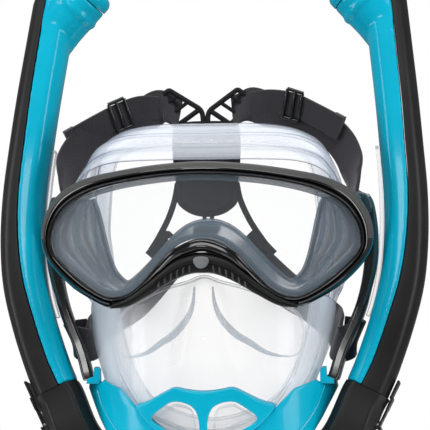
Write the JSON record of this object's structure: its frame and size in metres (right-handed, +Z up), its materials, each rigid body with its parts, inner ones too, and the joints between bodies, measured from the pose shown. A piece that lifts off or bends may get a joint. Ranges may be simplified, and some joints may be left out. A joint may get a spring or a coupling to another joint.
{
  "type": "full-face snorkel mask",
  "caption": "Full-face snorkel mask: curved lens in a wave-shaped frame, clear skirt and mouth shell, chin valve grille, and a snorkel tube that plugs in on each side; head harness behind.",
  "frame": {"origin": "centre of the eye opening of the face seal", "axes": "+X towards the wearer's left, +Y backwards into the wearer's head, +Z up; the front of the mask faces -Y"},
  "size_m": [0.237, 0.131, 0.2881],
  "materials": {
    "frame_black": "glossy",
    "spine_black": "matte",
    "teal": "glossy",
    "clear_lens": "clear",
    "clear_shell": "clear",
    "clear_silicone": "satin",
    "webbing": "matte",
    "pad_black": "matte",
    "grey_plastic": "satin",
    "white_rubber": "satin",
    "steel": "brushed"
  },
  "bodies": {
    "mask": {"chin_frame": "teal", "chin_junction": "spine_black", "face_skirt": "clear_silicone", "goggle_frame": "frame_black", "harness_pad": "pad_black", "left_latch_pin": "steel", "left_lower_strap": "webbing", "left_side_rail": "frame_black", "left_strap_anchor": "frame_black", "left_tube_socket": "spine_black", "left_upper_strap": "webbing", "lens": "clear_lens", "lens_bezel": "frame_black", "mouth_shell": "clear_shell", "nose_bridge": "spine_black", "nose_stud": "grey_plastic", "orinasal_pocket": "clear_silicone", "purge_cover": "spine_black", "purge_seat": "grey_plastic", "right_latch_pin": "steel", "right_lower_strap": "webbing", "right_side_rail": "frame_black", "right_strap_anchor": "frame_black", "right_tube_socket": "spine_black", "right_upper_strap": "webbing", "valve_grille": "teal"},
    "left_snorkel": {"left_tube": "teal", "left_tube_spine": "spine_black", "left_tube_strip": "clear_silicone", "left_head_cap": "teal", "left_float_seat": "white_rubber", "left_tube_plug": "spine_black", "left_plug_ring": "white_rubber"},
    "left_float_body": {"left_float": "grey_plastic"},
    "left_latch_lever": {"left_latch": "spine_black"},
    "left_flap": {"left_exhale_flap": "clear_silicone"},
    "right_snorkel": {"right_tube": "teal", "right_tube_spine": "spine_black", "right_tube_strip": "clear_silicone", "right_head_cap": "teal", "right_float_seat": "white_rubber", "right_tube_plug": "spine_black", "right_plug_ring": "white_rubber"},
    "right_float_body": {"right_float": "grey_plastic"},
    "right_latch_lever": {"right_latch": "spine_black"},
    "right_flap": {"right_exhale_flap": "clear_silicone"},
    "purge_disc": {"purge_membrane": "white_rubber"}
  },
  "joints": [
    {"name": "left_tube_pull", "type": "slide", "parent": "mask", "child": "left_snorkel", "axis": [-0.437, 0.21, 0.8746], "range_m": [0, 0.035]},
    {"name": "left_float_rise", "type": "slide", "parent": "left_snorkel", "child": "left_float_body", "axis": [0.6791, 0.0789, 0.7298], "range_m": [0, 0.0052]},
    {"name": "left_latch_rock", "type": "hinge", "parent": "mask", "child": "left_latch_lever", "pos_m": [-0.08975, -0.00147, -0.0981], "axis": [0, -0.9724, 0.2335], "range_deg": [0, 4], "stiffness_Nm_per_rad": 0.03},
    {"name": "left_flap_open", "type": "hinge", "parent": "mask", "child": "left_flap", "pos_m": [-0.0158, -0.02839, -0.0822], "axis": [-0.9756, 0.2194, 0], "range_deg": [0, 9], "stiffness_Nm_per_rad": 0.0005},
    {"name": "right_tube_pull", "type": "slide", "parent": "mask", "child": "right_snorkel", "axis": [0.437, 0.21, 0.8746], "range_m": [0, 0.035]},
    {"name": "right_float_rise", "type": "slide", "parent": "right_snorkel", "child": "right_float_body", "axis": [-0.6791, 0.0789, 0.7298], "range_m": [0, 0.0052]},
    {"name": "right_latch_rock", "type": "hinge", "parent": "mask", "child": "right_latch_lever", "pos_m": [0.08975, -0.00147, -0.0981], "axis": [0, 0.9724, -0.2335], "range_deg": [0, 4], "stiffness_Nm_per_rad": 0.03},
    {"name": "right_flap_open", "type": "hinge", "parent": "mask", "child": "right_flap", "pos_m": [0.0158, -0.02839, -0.0822], "axis": [-0.9756, -0.2194, 0], "range_deg": [0, 9], "stiffness_Nm_per_rad": 0.0005},
    {"name": "purge_lift", "type": "slide", "parent": "mask", "child": "purge_disc", "axis": [0, 0, -1], "range_m": [0, 0.0015], "stiffness_N_per_m": 20}
  ]
}
